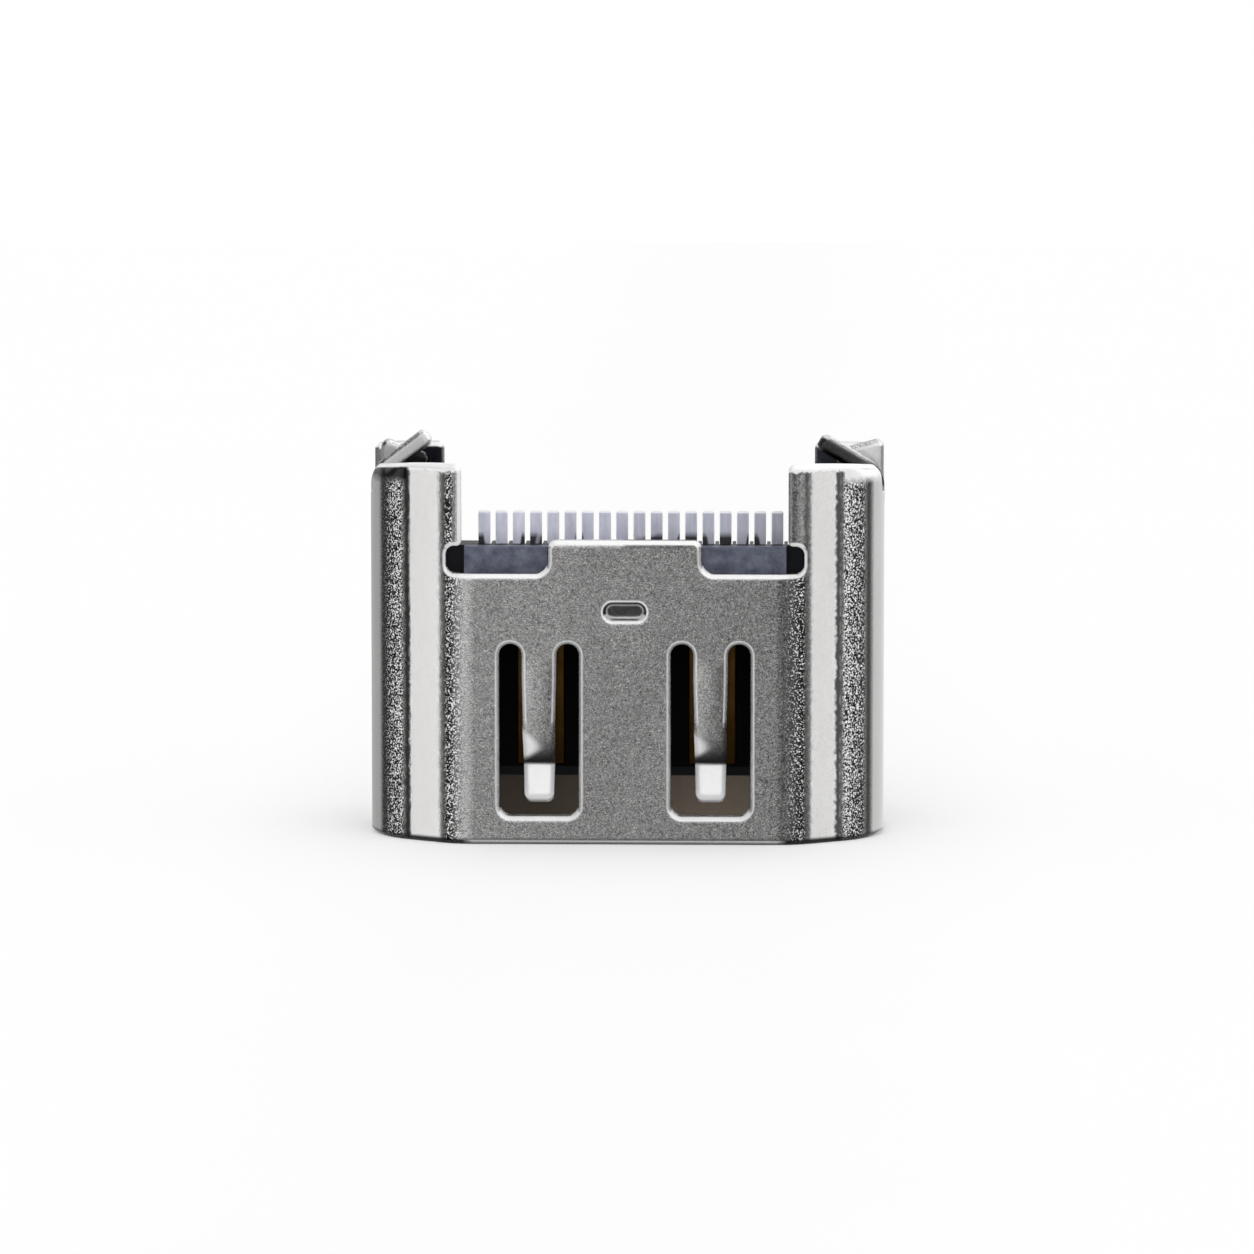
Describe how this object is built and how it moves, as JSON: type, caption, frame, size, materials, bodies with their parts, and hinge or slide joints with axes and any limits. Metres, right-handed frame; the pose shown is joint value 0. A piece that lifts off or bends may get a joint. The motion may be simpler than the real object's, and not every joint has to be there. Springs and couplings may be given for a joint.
{
  "type": "hdmi socket",
  "caption": "Board-mounted HDMI type A socket: folded metal shell with spring fingers and board legs, moulded housing with a tongue, and a row of solder tails.",
  "frame": {"origin": "middle of the open mouth, in the plane of the mouth's rim", "axes": "+Z from the mouth to the solder tails, +Y to the wide face and the board, +X to the right"},
  "size_m": [0.015, 0.0079, 0.0117],
  "materials": {
    "shell": "satin nickel",
    "housing": "moulded",
    "locator": "moulded",
    "contact": "tinned"
  },
  "bodies": {
    "root": {"shell": "shell", "housing": "housing", "locator": "locator", "contact_01": "contact", "contact_02": "contact", "contact_03": "contact", "contact_04": "contact", "contact_05": "contact", "contact_06": "contact", "contact_07": "contact", "contact_08": "contact", "contact_09": "contact", "contact_10": "contact", "contact_11": "contact", "contact_12": "contact", "contact_13": "contact", "contact_14": "contact", "contact_15": "contact", "contact_16": "contact", "contact_17": "contact", "contact_18": "contact", "contact_19": "contact"}
  },
  "joints": []
}
